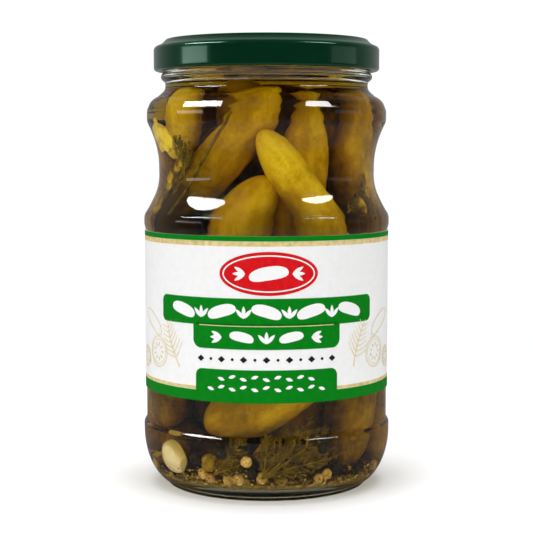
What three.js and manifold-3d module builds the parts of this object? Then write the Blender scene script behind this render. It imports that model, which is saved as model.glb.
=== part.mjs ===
// A shut jar of small pickled cucumbers with dill. A round jar of clear glass with a drawn-in
// waist carries a paper label and a pressed metal twist-off lid, and holds a packed heap of
// pickles, sprigs of dill, a clove of garlic and a bed of whole spices.
// Millimetres, +Z up. The origin is the centre of the base, and the front faces -Y.
// Places inside the jar are [azimuth, radius, height]: degrees from the front towards +X,
// distance from the jar's axis, and height above the base.

import * as THREE from "three";
import { mergeVertices } from "three/addons/utils/BufferGeometryUtils.js";
import Module from "manifold-3d";

const wasm = await Module();
wasm.setup();

// Driving dimensions of the glass
const TURN_STEPS = 36;
const BODY_RADIUS = 44.9;
const PANEL_RADIUS = 43.9;
const BULGE_RADIUS = 44.5;
const WAIST_RADIUS = 39.0;
const SHOULDER_RADIUS = 43.3;
const NECK_RADIUS = 36.6;
const BEAD_RADIUS = 38.2;
const FINISH_RADIUS = 37.0;
const THREAD_RADIUS = 38.6;
const WALL = 2.3;
const HEEL_HEIGHT = 20.0;
const RING_INNER_RADIUS = 29.5;
const HEEL_RADIUS = 33.0;
const RING_OUTER_RADIUS = 36.4;
const PUSH_UP = 2.2;
const FLOOR_HEIGHT = 5.8;
const PANEL_BOTTOM = 24.0;
const PANEL_TOP = 92.4;
const BULGE_TOP = 96.4;
const CONE_BOTTOM_RADIUS = 43.5;
const CONE_BOTTOM = 99.1;
const CONE_TOP_RADIUS = 40.0;
const CONE_TOP = 106.1;
const WAIST_HEIGHT = 113.8;
const BAND_BOTTOM = 130.6;
const BAND_TOP = 134.2;
const NECK_HEIGHT = 143.8;
const BEAD_HEIGHT = 147.2;
const RIM_HEIGHT = 159.4;

// Driving dimensions of the lid
const LID_RADIUS = 40.7;
const LID_METAL = 0.5;
const CURL_RADIUS = 1.2;
const CURL_HEIGHT = 150.4;
const LID_TOP = 160.5;
const LID_PANEL_DEPTH = 0.8;
const LID_PANEL_RADIUS = 31.0;
const BUTTON_RADIUS = 12.0;
const BUTTON_RISE = 0.5;
const LUG_COUNT = 4;

// Driving dimensions of the label
const LABEL_BOTTOM = 35.6;
const LABEL_TOP = 92.2;
const LABEL_PAPER = 0.25;
const LABEL_GAP = 0.1;

// Driving dimensions of what is inside
const CLEARANCE = 0.3;
const CORE_RADIUS = 23.0;
const CORE_TOP_RADIUS = 13.0;
const CORE_BOTTOM = 16.0;
const CORE_SHOULDER = 98.0;
const CORE_TOP = 134.0;
const PICKLE_SIDES = 8;
const PICKLE_RINGS = 8;
const PICKLE_BLUNTNESS = 3.4;
const PICKLE_TAPER = 0.1;
const SEED_SIDES = 6;
const SEED_RINGS = 4;
const STALK_RADIUS = 0.75;
const LEAFLET_RADIUS = 0.42;
const MIDRIB_PIECES = 3;

// Pickles that show at the front: the two ends of the axis, the girth across, and how far
// the middle bows outwards.
const FRONT_PICKLES = [
  { foot: [-84, 32.0, 84], tip: [7, 26.0, 141], girth: 17.0, bow: 5.5 },
  { foot: [56, 33.0, 76], tip: [-3, 30.5, 129], girth: 14.5, bow: 0.5 },
  { foot: [-60, 30.0, 52], tip: [2, 26.0, 112], girth: 19.0, bow: 2.5 },
  { foot: [24, 18.0, 80], tip: [30, 26.0, 137], girth: 16.5, bow: 0.0 },
  { foot: [93, 30.5, 74], tip: [67, 29.5, 139], girth: 17.5, bow: -2.5 },
  { foot: [-104, 31.0, 74], tip: [-90, 29.5, 130], girth: 17.5, bow: -2.5 },
  { foot: [-150, 9.0, 84], tip: [-32, 14.0, 149], girth: 16.0, bow: 0.0 },
  { foot: [-39, 28.5, 21.8], tip: [51, 31.0, 54], girth: 21.0, bow: 6.5 },
  { foot: [54, 28.0, 9.6], tip: [84, 30.0, 70], girth: 18.0, bow: 1.0 },
  { foot: [-78, 30.5, 21], tip: [-80, 31.0, 75], girth: 19.0, bow: 0.5 },
  { foot: [96, 30.0, 9.4], tip: [112, 30.5, 72], girth: 18.0, bow: 0.5 },
];

// Seeds of the bed at the front: azimuth, radius, height and width across.
const FRONT_SEEDS = [
  [-38.4, 36.8, 14.4, 4.6],
  [-30.5, 36.4, 13.4, 6.4],
  [-35.1, 35.8, 9.6, 3.8],
  [-31.5, 34.8, 8.2, 3.4],
  [-20.6, 34.4, 8.2, 4.2],
  [-14.9, 34.8, 8.6, 4.2],
  [-8.3, 36.2, 10.9, 4.8],
  [-12.0, 33.0, 7.8, 3.4],
  [-2.4, 35.2, 9.2, 4.0],
  [8.4, 34.0, 7.9, 3.6],
  [28.5, 35.4, 8.4, 3.4],
  [33.0, 36.0, 9.6, 3.6],
  [38.5, 36.8, 11.4, 4.6],
];
const SCATTERED_SEEDS = 13;

// Sprigs of dill, each with the midribs that fan out of its foot: where a midrib ends, its
// pairs of leaflets and their reach. The seeds are those caught in it: place and width.
const LEFT_DILL = {
  foot: [-27, 38.2, 9.8],
  midribs: [{ tip: [-10, 39.4, 20.5], pairs: 4, reach: 7 }],
  seeds: [
    [-10, 38.0, 14.8, 3.8],
    [-23, 38.2, 17.0, 3.8],
  ],
};
const RIGHT_DILL = {
  foot: [-2, 38.2, 9.5],
  midribs: [
    { tip: [16, 39.4, 27.0], pairs: 3, reach: 7 },
    { tip: [33, 39.4, 25.0], pairs: 4, reach: 8 },
    { tip: [37, 39.2, 16.0], pairs: 3, reach: 5 },
  ],
  seeds: [[28.7, 38.4, 18.7, 3.8]],
};

const CLOVE = { root: [-64.5, 36.2, 15.6], tip: [-44.5, 37.0, 11.0], width: 9.8, depth: 8.0 };

const random = (() => {
  let state = 20261;
  return () => {
    state = (state * 16807) % 2147483647;
    return state / 2147483647;
  };
})();

// Shared geometry helpers

function place(azimuth, radius, height) {
  const turn = THREE.MathUtils.degToRad(azimuth);
  return new THREE.Vector3(radius * Math.sin(turn), -radius * Math.cos(turn), height);
}

// Points on an ellipse about [radius, height], from one angle to another.
function ellipse(radius, height, across, up, from, to, steps) {
  return Array.from({ length: steps + 1 }, (_, i) => {
    const angle = THREE.MathUtils.degToRad(from + ((to - from) * i) / steps);
    return [radius + across * Math.cos(angle), height + up * Math.sin(angle)];
  });
}

// Points of a hollow curve from one place of an outline up to another, both ends left out.
function hollow(low, high, depth, steps) {
  return Array.from({ length: steps - 1 }, (_, i) => {
    const part = (i + 1) / steps;
    const dip = depth * 4 * part * (1 - part);
    return [
      THREE.MathUtils.lerp(low[0], high[0], part) - dip,
      THREE.MathUtils.lerp(low[1], high[1], part),
    ];
  });
}

// An outline of [radius, height] points turned about the +Z axis.
function turned(outline) {
  const points = outline.map(([radius, height]) => new THREE.Vector2(radius, height));
  return new THREE.LatheGeometry(points, TURN_STEPS).rotateX(Math.PI / 2);
}

function solid(geometry) {
  const bare = geometry.clone();
  bare.deleteAttribute("normal");
  bare.deleteAttribute("uv");
  const merged = mergeVertices(bare, 1e-3);
  const vertProperties = new Float32Array(merged.attributes.position.array);
  const triVerts = new Uint32Array(merged.index.array);
  return new wasm.Manifold(new wasm.Mesh({ numProp: 3, vertProperties, triVerts }));
}

function geometryOf(body) {
  const mesh = body.getMesh();
  const geometry = new THREE.BufferGeometry();
  geometry.setAttribute("position", new THREE.BufferAttribute(mesh.vertProperties, 3));
  geometry.setIndex(new THREE.BufferAttribute(mesh.triVerts, 1));
  geometry.computeVertexNormals();
  return geometry;
}

const joined = (bodies) => bodies.reduce((whole, body) => whole.add(body));

// What is left in one piece once loose scraps are dropped.
function largest(body) {
  const pieces = body.decompose();
  return pieces.reduce((a, b) => (a.volume() >= b.volume() ? a : b));
}

// Right-handed axes about a direction: across, along and the third one, which faces outwards
// where it can.
function axesAbout(along, outward) {
  const across = new THREE.Vector3().crossVectors(along, outward).normalize();
  const out = new THREE.Vector3().crossVectors(across, along).normalize();
  return { across, out };
}

// Glass jar

function glassOutside() {
  return [
    [0, PUSH_UP],
    [RING_INNER_RADIUS - 4, PUSH_UP - 0.6],
    [RING_INNER_RADIUS, 0],
    [RING_OUTER_RADIUS - 0.8, 0],
    [RING_OUTER_RADIUS, 0.6],
    [RING_OUTER_RADIUS, 1.5],
    ...ellipse(HEEL_RADIUS, HEEL_HEIGHT, BODY_RADIUS - HEEL_RADIUS, HEEL_HEIGHT, -64, 0, 5),
    [BODY_RADIUS, HEEL_HEIGHT + 1.6],
    [BODY_RADIUS - 0.6, HEEL_HEIGHT + 3.2],
    [PANEL_RADIUS, PANEL_BOTTOM],
    [PANEL_RADIUS, PANEL_TOP],
    [BULGE_RADIUS, PANEL_TOP + 1.8],
    [BULGE_RADIUS, BULGE_TOP],
    [CONE_BOTTOM_RADIUS, CONE_BOTTOM],
    [CONE_TOP_RADIUS, CONE_TOP],
    ...hollow([CONE_TOP_RADIUS, CONE_TOP], [WAIST_RADIUS, WAIST_HEIGHT], 0.4, 2),
    [WAIST_RADIUS, WAIST_HEIGHT],
    ...hollow([WAIST_RADIUS, WAIST_HEIGHT], [SHOULDER_RADIUS - 0.3, BAND_BOTTOM], 1.1, 4),
    [SHOULDER_RADIUS - 0.3, BAND_BOTTOM],
    [SHOULDER_RADIUS, (BAND_BOTTOM + BAND_TOP) / 2],
    ...ellipse(SHOULDER_RADIUS - 6.5, BAND_TOP, 6.4, 6.4, 0, 66, 3),
    [NECK_RADIUS, NECK_HEIGHT - 1],
    [NECK_RADIUS, NECK_HEIGHT + 1],
    [BEAD_RADIUS - 0.2, BEAD_HEIGHT - 0.8],
    [BEAD_RADIUS, BEAD_HEIGHT],
    [FINISH_RADIUS, BEAD_HEIGHT + 2],
    [FINISH_RADIUS, RIM_HEIGHT - 1.6],
    [FINISH_RADIUS - 1.2, RIM_HEIGHT],
  ];
}

function glassInside() {
  const wideRadius = BODY_RADIUS - WALL - 0.9;
  const panelRadius = PANEL_RADIUS - WALL;
  const bulgeRadius = BULGE_RADIUS - WALL - 0.3;
  const waistRadius = WAIST_RADIUS - WALL;
  const shoulderRadius = SHOULDER_RADIUS - WALL - 0.2;
  const mouthRadius = NECK_RADIUS - WALL - 0.4;
  return [
    [mouthRadius + 0.8, RIM_HEIGHT],
    [mouthRadius, RIM_HEIGHT - 1],
    [mouthRadius, NECK_HEIGHT + 0.6],
    [mouthRadius + 2, NECK_HEIGHT - 3],
    ...ellipse(shoulderRadius - 5.2, BAND_TOP - 0.5, 5.2, 5.2, 58, 0, 2),
    [shoulderRadius - 0.2, BAND_BOTTOM],
    ...hollow([waistRadius, WAIST_HEIGHT], [shoulderRadius - 0.2, BAND_BOTTOM], 1.1, 3).reverse(),
    [waistRadius, WAIST_HEIGHT],
    ...hollow([CONE_TOP_RADIUS - WALL, CONE_TOP], [waistRadius, WAIST_HEIGHT], 0.4, 2),
    [CONE_TOP_RADIUS - WALL, CONE_TOP],
    [CONE_BOTTOM_RADIUS - WALL - 0.3, CONE_BOTTOM - 0.6],
    [bulgeRadius, BULGE_TOP - 0.5],
    [panelRadius, PANEL_TOP],
    [panelRadius, PANEL_BOTTOM],
    ...ellipse(30.5, 17, wideRadius - 30.5, 12.4, 0, -90, 5),
    [15, FLOOR_HEIGHT - 0.4],
    [0, FLOOR_HEIGHT],
  ];
}

// One short ramp of the screw finish, rising as it goes round.
function threadRamp(index) {
  const start = (360 / LUG_COUNT) * index;
  const path = new THREE.CatmullRomCurve3(
    [0, 12, 24, 36, 48].map((turn) => place(start + turn, FINISH_RADIUS + 0.4, 152.4 + turn / 24)),
  );
  const section = new THREE.Shape().absarc(0, 0, THREAD_RADIUS - FINISH_RADIUS - 0.4, 0, 2 * Math.PI);
  return new THREE.ExtrudeGeometry(section, { steps: 6, curveSegments: 6, extrudePath: path });
}

function jarGeometry() {
  const shell = solid(turned([...glassOutside(), ...glassInside()]));
  const ramps = Array.from({ length: LUG_COUNT }, (_, index) => solid(threadRamp(index)));
  return geometryOf(joined([shell, ...ramps]));
}

// Twist-off lid: a pressed sheet with a stepped top, a button, a rolled curl and lugs

function lidOutside() {
  const shoulder = LID_TOP - 2.3;
  return [
    ...ellipse(LID_RADIUS - CURL_RADIUS, CURL_HEIGHT, CURL_RADIUS, CURL_RADIUS, -180, 0, 6),
    [LID_RADIUS, shoulder - 1.5],
    [LID_RADIUS - 0.4, shoulder - 0.5],
    [LID_RADIUS - 1.6, shoulder],
    [LID_RADIUS - 3.2, shoulder + 0.9],
    [LID_RADIUS - 4, LID_TOP - 0.2],
    [LID_RADIUS - 4.6, LID_TOP],
    [LID_PANEL_RADIUS, LID_TOP],
    [LID_PANEL_RADIUS - 1, LID_TOP - LID_PANEL_DEPTH],
    [BUTTON_RADIUS + 1.5, LID_TOP - LID_PANEL_DEPTH],
    [BUTTON_RADIUS, LID_TOP - LID_PANEL_DEPTH + BUTTON_RISE],
    [0, LID_TOP - LID_PANEL_DEPTH + BUTTON_RISE],
  ];
}

function lidInside() {
  const sealTop = RIM_HEIGHT + 0.2;
  return [
    [0, LID_TOP - LID_PANEL_DEPTH - LID_METAL],
    [LID_PANEL_RADIUS - 1, LID_TOP - LID_PANEL_DEPTH - LID_METAL],
    [LID_PANEL_RADIUS, sealTop],
    [LID_RADIUS - 4.4, sealTop],
    [LID_RADIUS - LID_METAL, sealTop - 2],
    [LID_RADIUS - LID_METAL, CURL_HEIGHT + CURL_RADIUS + 0.4],
    [LID_RADIUS - 2 * CURL_RADIUS + 0.6, CURL_HEIGHT + CURL_RADIUS],
    [LID_RADIUS - 2 * CURL_RADIUS, CURL_HEIGHT],
  ];
}

function lugGeometry(index) {
  const reach = 1.1;
  const turn = (360 / LUG_COUNT) * index + 20;
  const lug = new THREE.BoxGeometry(9, reach + 1, 1.2);
  lug.rotateZ(THREE.MathUtils.degToRad(turn));
  const middle = place(turn, LID_RADIUS - 2 * CURL_RADIUS - reach / 2 + 0.4, CURL_HEIGHT - 0.3);
  return lug.translate(middle.x, middle.y, middle.z);
}

function lidGeometry() {
  const sheet = solid(turned([...lidOutside(), ...lidInside()]));
  const lugs = Array.from({ length: LUG_COUNT }, (_, index) => solid(lugGeometry(index)));
  return geometryOf(joined([sheet, ...lugs]));
}

function labelGeometry() {
  const inner = PANEL_RADIUS + LABEL_GAP;
  const outer = inner + LABEL_PAPER;
  return turned([
    [inner, LABEL_BOTTOM],
    [outer, LABEL_BOTTOM],
    [outer, LABEL_TOP],
    [inner, LABEL_TOP],
    [inner, LABEL_BOTTOM],
  ]);
}

// Heap of pickles

// A blunt-ended pickle about a bowed axis, made thicker and longer by `grow` where it is the
// room that a neighbour must keep clear of.
function pickleGeometry({ foot, tip, girth, bow }, grow) {
  const start = place(...foot);
  const end = place(...tip);
  const along = end.clone().sub(start).normalize();
  const outward = start.clone().add(end).setZ(0).normalize();
  const { across, out } = axesAbout(along, outward);
  const geometry = new THREE.SphereGeometry(1, PICKLE_SIDES, PICKLE_RINGS);
  const vertices = geometry.attributes.position;
  for (let i = 0; i < vertices.count; i += 1) {
    const unit = new THREE.Vector3().fromBufferAttribute(vertices, i);
    const part = (unit.y + 1) / 2;
    const fullness = Math.sqrt(Math.max(0, 1 - Math.abs(unit.y) ** PICKLE_BLUNTNESS));
    const taper = 1 - PICKLE_TAPER * (part - 0.5);
    const ringRadius = Math.hypot(unit.x, unit.z);
    const radius = (girth / 2) * fullness * taper + grow * ringRadius;
    const point = start.clone().lerp(end, part);
    point.addScaledVector(outward, bow * 4 * part * (1 - part));
    point.addScaledVector(along, grow * unit.y);
    if (ringRadius > 1e-6) {
      point.addScaledVector(across, (radius * unit.x) / ringRadius);
      point.addScaledVector(out, (radius * unit.z) / ringRadius);
    }
    vertices.setXYZ(i, point.x, point.y, point.z);
  }
  return geometry;
}

// The pickles round the back and in the middle, set out by rule.
function hiddenPickles() {
  const pickles = [];
  for (let i = 0; i < 4; i += 1) {
    const azimuth = 110 + 35 * i;
    pickles.push({
      foot: [azimuth + 9, 31, 76 + 3 * (i % 2)],
      tip: [azimuth - 8, 27.5, 140 - 4 * (i % 3)],
      girth: 17 + 1.5 * (i % 2),
      bow: -1.5,
    });
  }
  for (let i = 0; i < 4; i += 1) {
    const azimuth = 146 + 34 * i;
    pickles.push({
      foot: [azimuth - 8, 30, 9.6 + 2 * (i % 2)],
      tip: [azimuth + 8, 31, 73 - 3 * (i % 2)],
      girth: 19 - (i % 2),
      bow: 0.5,
    });
  }
  for (let i = 0; i < 3; i += 1) {
    const azimuth = 40 + 120 * i;
    pickles.push({
      foot: [azimuth, 11.5, 12 + 2 * i],
      tip: [azimuth + 25, 11, 76 + 2 * i],
      girth: 19,
      bow: 0,
    });
  }
  pickles.push({ foot: [150, 12, 84], tip: [172, 11, 142], girth: 17.5, bow: 0 });
  return pickles;
}

// The pickles stand fused on a column that takes the place of the ones nobody sees.
function heapBody(grow) {
  const column = turned([
    [0, CORE_BOTTOM],
    [CORE_RADIUS, CORE_BOTTOM],
    [CORE_RADIUS, CORE_SHOULDER],
    [CORE_TOP_RADIUS, CORE_SHOULDER + 8],
    [CORE_TOP_RADIUS, CORE_TOP],
    [0, CORE_TOP],
  ]);
  const pickles = [...FRONT_PICKLES, ...hiddenPickles()];
  return joined([solid(column), ...pickles.map((pickle) => solid(pickleGeometry(pickle, grow)))]);
}

// Bed of spices

function seedBody([azimuth, radius, height, width], grow) {
  const seed = new THREE.SphereGeometry(width / 2 + grow, SEED_SIDES, SEED_RINGS).rotateX(Math.PI / 2);
  const middle = place(azimuth, radius, height);
  return solid(seed.translate(middle.x, middle.y, middle.z));
}

function scatteredSeeds() {
  return Array.from({ length: SCATTERED_SEEDS }, (_, i) => {
    const azimuth = 52 + (256 / SCATTERED_SEEDS) * (i + 0.6 * random());
    const width = 3.4 + 1.4 * random();
    return [azimuth, 35.6 - 3 * random(), 8.5 + 0.6 * random(), width];
  });
}

function bedBody(seeds, grow) {
  const bed = turned([
    [0, FLOOR_HEIGHT + 0.5],
    [30, 5.4],
    [34, 6.1],
    [36.8, 7.6],
    [37.3, 8.3],
    [35.5, 8.5],
    [30, 7.8],
    [20, 7.4],
    [0, 7.4],
  ]);
  return joined([solid(bed), ...seeds.map((seed) => seedBody(seed, grow))]);
}

// Dill

// A tapering three-sided thread between two places.
function threadBody(from, to, thick, thin) {
  const start = place(...from);
  const along = place(...to).sub(start);
  const thread = new THREE.CylinderGeometry(thin, thick, along.length(), 3);
  const turn = new THREE.Quaternion().setFromUnitVectors(
    new THREE.Vector3(0, 1, 0),
    along.clone().normalize(),
  );
  const middle = start.addScaledVector(along, 0.5);
  return solid(thread.applyQuaternion(turn).translate(middle.x, middle.y, middle.z));
}

const between = (a, b, part) => a.map((value, i) => THREE.MathUtils.lerp(value, b[i], part));

// A midrib spread against the glass, with leaflets to both sides, every other one forked.
// Directions are worked out on the unrolled wall, and turned back into azimuths.
function midribBodies(foot, { tip, pairs, reach }) {
  const degreesPerMillimetre = 180 / Math.PI / foot[1];
  const run = (tip[0] - foot[0]) / degreesPerMillimetre;
  const lean = Math.atan2(tip[2] - foot[2], run);
  const leafletTip = (start, length, angle, dip) => [
    start[0] + length * Math.cos(angle) * degreesPerMillimetre,
    start[1] - dip,
    start[2] + length * Math.sin(angle),
  ];
  const bodies = [];
  for (let i = 0; i < MIDRIB_PIECES; i += 1) {
    const from = between(foot, tip, i / MIDRIB_PIECES);
    const to = between(foot, tip, (i + 1.08) / MIDRIB_PIECES);
    const thick = STALK_RADIUS - 0.1 * i;
    bodies.push(threadBody(from, to, thick, thick - 0.1));
  }
  for (let i = 0; i < pairs; i += 1) {
    for (const side of [-1, 1]) {
      const part = (i + 0.7 + 0.25 * side) / pairs;
      const length = reach * (0.4 + 0.6 * Math.sin(Math.PI * part)) * (0.85 + 0.3 * random());
      const angle = lean + side * (0.6 + 0.2 * random());
      const leafFoot = between(foot, tip, part);
      const leafTip = leafletTip(leafFoot, length, angle, 0.5 * random());
      bodies.push(threadBody(leafFoot, leafTip, LEAFLET_RADIUS, LEAFLET_RADIUS * 0.7));
      if ((i + side) % 2 === 0) {
        const forkFoot = between(leafFoot, leafTip, 0.45);
        const forkTip = leafletTip(forkFoot, length / 2, angle - side * 0.6, 0);
        bodies.push(threadBody(forkFoot, forkTip, LEAFLET_RADIUS, LEAFLET_RADIUS * 0.7));
      }
    }
  }
  return bodies;
}

// A caught seed hangs on a leaflet from the nearest point of its sprig's midribs.
function caughtSeedBodies(seed, { foot, midribs }) {
  const middle = place(...seed);
  const points = midribs.flatMap(({ tip }) =>
    Array.from({ length: 11 }, (_, i) => between(foot, tip, i / 10)),
  );
  const distance = (point) => place(...point).distanceTo(middle);
  const nearest = points.reduce((a, b) => (distance(a) <= distance(b) ? a : b));
  return [threadBody(nearest, seed, LEAFLET_RADIUS, LEAFLET_RADIUS), seedBody(seed, 0)];
}

function dillBody(sprig) {
  return joined([
    ...sprig.midribs.flatMap((midrib) => midribBodies(sprig.foot, midrib)),
    ...sprig.seeds.flatMap((seed) => caughtSeedBodies(seed, sprig)),
  ]);
}

// Garlic: a clove with a broad root, a flat back and a pointed tip

function cloveBody() {
  const start = place(...CLOVE.root);
  const end = place(...CLOVE.tip);
  const along = end.clone().sub(start).normalize();
  const outward = start.clone().add(end).setZ(0).normalize();
  const { across, out } = axesAbout(along, outward);
  const geometry = new THREE.SphereGeometry(1, 12, 9);
  const vertices = geometry.attributes.position;
  for (let i = 0; i < vertices.count; i += 1) {
    const unit = new THREE.Vector3().fromBufferAttribute(vertices, i);
    const part = (unit.y + 1) / 2;
    const fullness = 1 - 0.45 * part;
    const backing = unit.z < 0 ? 0.7 : 1;
    const point = start.clone().lerp(end, part);
    point.addScaledVector(across, (CLOVE.width / 2) * 1.25 * fullness * unit.x);
    point.addScaledVector(out, (CLOVE.depth / 2) * 1.25 * fullness * backing * unit.z);
    vertices.setXYZ(i, point.x, point.y, point.z);
  }
  return solid(geometry);
}

// Sub-parts and their materials

const GLASS = new THREE.MeshStandardMaterial({
  color: 0xd8e0d4,
  roughness: 0.05,
  metalness: 0,
  transparent: true,
  opacity: 0.3,
});
const LACQUERED_LID = new THREE.MeshStandardMaterial({ color: 0x0b3c24, roughness: 0.25, metalness: 0.4 });
const LABEL_PRINT = new THREE.MeshStandardMaterial({ color: 0xeeeeec, roughness: 0.4, metalness: 0 });
const PICKLE_SKIN = new THREE.MeshStandardMaterial({ color: 0x8f7a1c, roughness: 0.4, metalness: 0 });
const CLOVE_SKIN = new THREE.MeshStandardMaterial({ color: 0xdccb9a, roughness: 0.5, metalness: 0 });
const DILL_LEAF = new THREE.MeshStandardMaterial({ color: 0x4b4714, roughness: 0.6, metalness: 0 });
const SPICE_MIX = new THREE.MeshStandardMaterial({ color: 0x7a5524, roughness: 0.6, metalness: 0 });

function subPart(name, geometry, material) {
  const mesh = new THREE.Mesh(geometry, material);
  mesh.name = name;
  return mesh;
}

const bedSeeds = [...FRONT_SEEDS, ...scatteredSeeds()];
const heapRoom = heapBody(CLEARANCE);
const bedRoom = bedBody(bedSeeds, CLEARANCE);
const spices = largest(bedBody(bedSeeds, 0).subtract(heapRoom));
const clove = largest(cloveBody().subtract(heapRoom).subtract(bedRoom));
const leftDill = largest(dillBody(LEFT_DILL).subtract(heapRoom).subtract(bedRoom));
const rightDill = largest(dillBody(RIGHT_DILL).subtract(heapRoom).subtract(bedRoom));

const contents = new THREE.Group();
contents.name = "contents";
contents.add(
  subPart("pickles", geometryOf(heapBody(0)), PICKLE_SKIN),
  subPart("spices", geometryOf(spices), SPICE_MIX),
  subPart("garlic", geometryOf(clove), CLOVE_SKIN),
  subPart("dill_left", geometryOf(leftDill), DILL_LEAF),
  subPart("dill_right", geometryOf(rightDill), DILL_LEAF),
);

const pickleJar = new THREE.Group();
pickleJar.name = "pickle_jar";
pickleJar.add(
  subPart("jar", jarGeometry(), GLASS),
  subPart("lid", lidGeometry(), LACQUERED_LID),
  subPart("label", labelGeometry(), LABEL_PRINT),
  contents,
);

export default pickleJar;
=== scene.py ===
"""The looks of a shut jar of small pickled cucumbers with dill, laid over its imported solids.

Everything is in metres, in the part's own frame: +Z up, the origin at the centre of the base,
the front facing -Y. Sizes are written in millimetres and scaled by MM.
Places inside the jar are (azimuth, radius, height): degrees from the front towards +X,
distance from the jar's axis, and height above the base.
"""

import math
import random

import bmesh
import bpy
import numpy as np
from mathutils import Matrix, Quaternion, Vector, geometry, noise


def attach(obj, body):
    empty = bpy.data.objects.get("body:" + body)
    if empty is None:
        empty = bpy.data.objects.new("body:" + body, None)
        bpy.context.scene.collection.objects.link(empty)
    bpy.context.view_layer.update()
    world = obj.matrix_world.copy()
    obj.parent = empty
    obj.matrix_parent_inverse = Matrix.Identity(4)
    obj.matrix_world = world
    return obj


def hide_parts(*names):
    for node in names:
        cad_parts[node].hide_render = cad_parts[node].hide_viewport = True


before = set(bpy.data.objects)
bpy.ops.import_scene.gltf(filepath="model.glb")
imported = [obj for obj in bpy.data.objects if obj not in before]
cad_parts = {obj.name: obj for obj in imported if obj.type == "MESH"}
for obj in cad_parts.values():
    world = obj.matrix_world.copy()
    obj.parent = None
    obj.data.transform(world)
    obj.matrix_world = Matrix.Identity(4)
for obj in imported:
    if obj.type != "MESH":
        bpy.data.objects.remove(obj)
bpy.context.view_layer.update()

MM = 0.001

# Glass
TURN_STEPS = 180
BODY_RADIUS = 44.9
PANEL_RADIUS = 43.9
BULGE_RADIUS = 44.5
WAIST_RADIUS = 39.0
SHOULDER_RADIUS = 43.3
NECK_RADIUS = 36.6
BEAD_RADIUS = 38.2
FINISH_RADIUS = 37.0
THREAD_RADIUS = 38.6
THREAD_BOTTOM = 152.4
WALL = 2.3
HEEL_HEIGHT = 20.0
RING_INNER_RADIUS = 29.5
HEEL_RADIUS = 33.0
RING_OUTER_RADIUS = 36.4
PUSH_UP = 2.2
FLOOR_HEIGHT = 5.8
PANEL_BOTTOM = 24.0
PANEL_TOP = 92.4
BULGE_TOP = 96.4
CONE_BOTTOM_RADIUS = 43.5
CONE_BOTTOM = 99.1
CONE_TOP_RADIUS = 40.0
CONE_TOP = 106.1
WAIST_HEIGHT = 113.8
BAND_BOTTOM = 130.6
BAND_TOP = 134.2
NECK_HEIGHT = 143.8
BEAD_HEIGHT = 147.2
RIM_HEIGHT = 159.4

# Brine: how far it reaches into the wall, and its level
BRINE_OVERLAP = 0.15
BRINE_LEVEL = 154.0
GLASS_IOR = 1.52
BRINE_IOR = 1.345

# Lid
LID_RADIUS = 40.7
LID_METAL = 0.5
CURL_RADIUS = 1.2
CURL_HEIGHT = 150.4
LID_TOP = 160.5
LID_PANEL_DEPTH = 0.8
LID_PANEL_RADIUS = 31.0
BUTTON_RADIUS = 12.0
BUTTON_RISE = 0.5
LUG_COUNT = 4

# Label: the paper's outside, its edges, and the bands and fields of its print
LABEL_RADIUS = 44.25
LABEL_PAPER = 0.25
LABEL_BOTTOM = 35.6
LABEL_TOP = 92.2
INK = 0.03
INK_GAP = 0.005
PRINT_STEP = 1.5
CREASE = 40
TOP_BAND = (90.5, LABEL_TOP)
TOP_GOLD = (88.8, 90.4)
BOTTOM_BAND = (LABEL_BOTTOM, 39.3)
BOTTOM_GOLD = (39.4, 40.5)
# Fields at the front, from the middle of it: left, bottom, right and top edges, then the radii
# of the low and high corners; the badge is its middle across and up, and its half sizes
BANNER = (-42.0, 61.9, 42.0, 71.2, 2.3, 2.3)
TAB = (-26.5, 53.9, 26.5, 62.6, 3.0, 0)
FOOT_TAB = (-25.5, 38.0, 25.5, 46.9, 0, 2.5)
BADGE = (0.8, 79.6, 17.0, 7.4)
GOLD_RULE = (-24.0, 61.7, 24.0, 61.95, 0, 0)

# Pickles that show at the front: the two ends of the axis, the girth across, how far the middle
# bows outwards, and how light the skin is at foot and tip, from 0, dark olive, to 1, yellow
FRONT_PICKLES = [
    ((-84, 32.0, 84), (7, 26.0, 141), 17.0, 5.5, (-0.45, 0.95)),
    ((56, 33.0, 76), (-3, 30.5, 129), 14.5, 0.5, (0.68, 1.0)),
    ((-60, 30.0, 52), (2, 26.0, 112), 19.0, 2.5, (0.6, 0.7)),
    # This pickle's tones are partly its own skin and partly painted light, made lighter to make up for
    # the shade where it lies deep in the heap.
    ((24, 18.0, 80), (30, 26.0, 137), 16.5, 0.0, (0.5, 0.76)),
    ((93, 30.5, 74), (67, 29.5, 139), 17.5, -2.5, (0.25, 0.66)),
    ((-104, 31.0, 74), (-90, 29.5, 130), 17.5, -2.5, (0.4, 0.5)),
    ((-150, 9.0, 84), (-32, 14.0, 149), 16.0, 0.0, (0.5, 1.0)),
    ((-39, 28.5, 21.8), (51, 31.0, 54), 21.0, 6.5, (0.58, 0.6)),
    ((54, 28.0, 9.6), (84, 30.0, 70), 18.0, 1.0, (0.3, 0.4)),
    ((-78, 30.5, 21), (-80, 31.0, 75), 19.0, 0.5, (0.35, 0.3)),
    ((96, 30.0, 9.4), (112, 30.5, 72), 18.0, 0.5, (0.45, 0.5)),
]
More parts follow.
